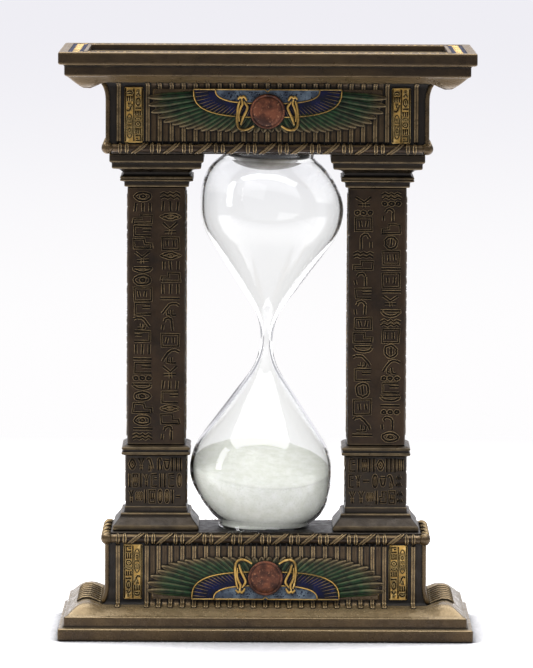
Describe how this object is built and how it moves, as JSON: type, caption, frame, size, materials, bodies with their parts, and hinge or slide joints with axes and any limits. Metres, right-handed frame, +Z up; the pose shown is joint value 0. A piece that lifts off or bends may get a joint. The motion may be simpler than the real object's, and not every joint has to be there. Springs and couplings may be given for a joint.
{
  "type": "hourglass",
  "caption": "Reversible sand hourglass with oblong winged-disc ends, square engraved pillars and a blown glass bulb",
  "frame": {"origin": "centre of the bottom face, on the surface the hourglass stands on", "axes": "+X to the right along the ends, +Y to the back, +Z up from the lower end to the upper end"},
  "size_m": [0.146, 0.0724, 0.207],
  "materials": {
    "bronze": "satin",
    "gold": "satin",
    "green": "satin",
    "blue": "satin",
    "pale_blue": "matte",
    "sun_red": "satin",
    "glass": "gloss",
    "sand": "matte",
    "steel": "satin"
  },
  "bodies": {
    "root": {"lower_slab": "bronze", "lower_border_inlay": "blue", "lower_frieze_block": "bronze", "lower_glyph_strips": "gold", "lower_roll": "bronze", "lower_front_feathers": "green", "lower_front_coverts": "blue", "lower_front_shoulders": "pale_blue", "lower_front_sun_disc": "sun_red", "lower_front_cobras": "gold", "lower_back_feathers": "green", "lower_back_coverts": "blue", "lower_back_shoulders": "pale_blue", "lower_back_sun_disc": "sun_red", "lower_back_cobras": "gold", "lower_end_plug": "bronze", "upper_slab": "bronze", "upper_border_inlay": "blue", "upper_frieze_block": "bronze", "upper_glyph_strips": "gold", "upper_roll": "bronze", "upper_front_feathers": "green", "upper_front_coverts": "blue", "upper_front_shoulders": "pale_blue", "upper_front_sun_disc": "sun_red", "upper_front_cobras": "gold", "upper_back_feathers": "green", "upper_back_coverts": "blue", "upper_back_shoulders": "pale_blue", "upper_back_sun_disc": "sun_red", "upper_back_cobras": "gold", "upper_end_plug": "bronze", "left_pedestal": "bronze", "left_shaft": "bronze", "left_capital": "bronze", "left_lower_dowel": "steel", "left_upper_dowel": "steel", "right_pedestal": "bronze", "right_shaft": "bronze", "right_capital": "bronze", "right_lower_dowel": "steel", "right_upper_dowel": "steel", "glass_ampoule": "glass", "sand": "sand"}
  },
  "joints": []
}
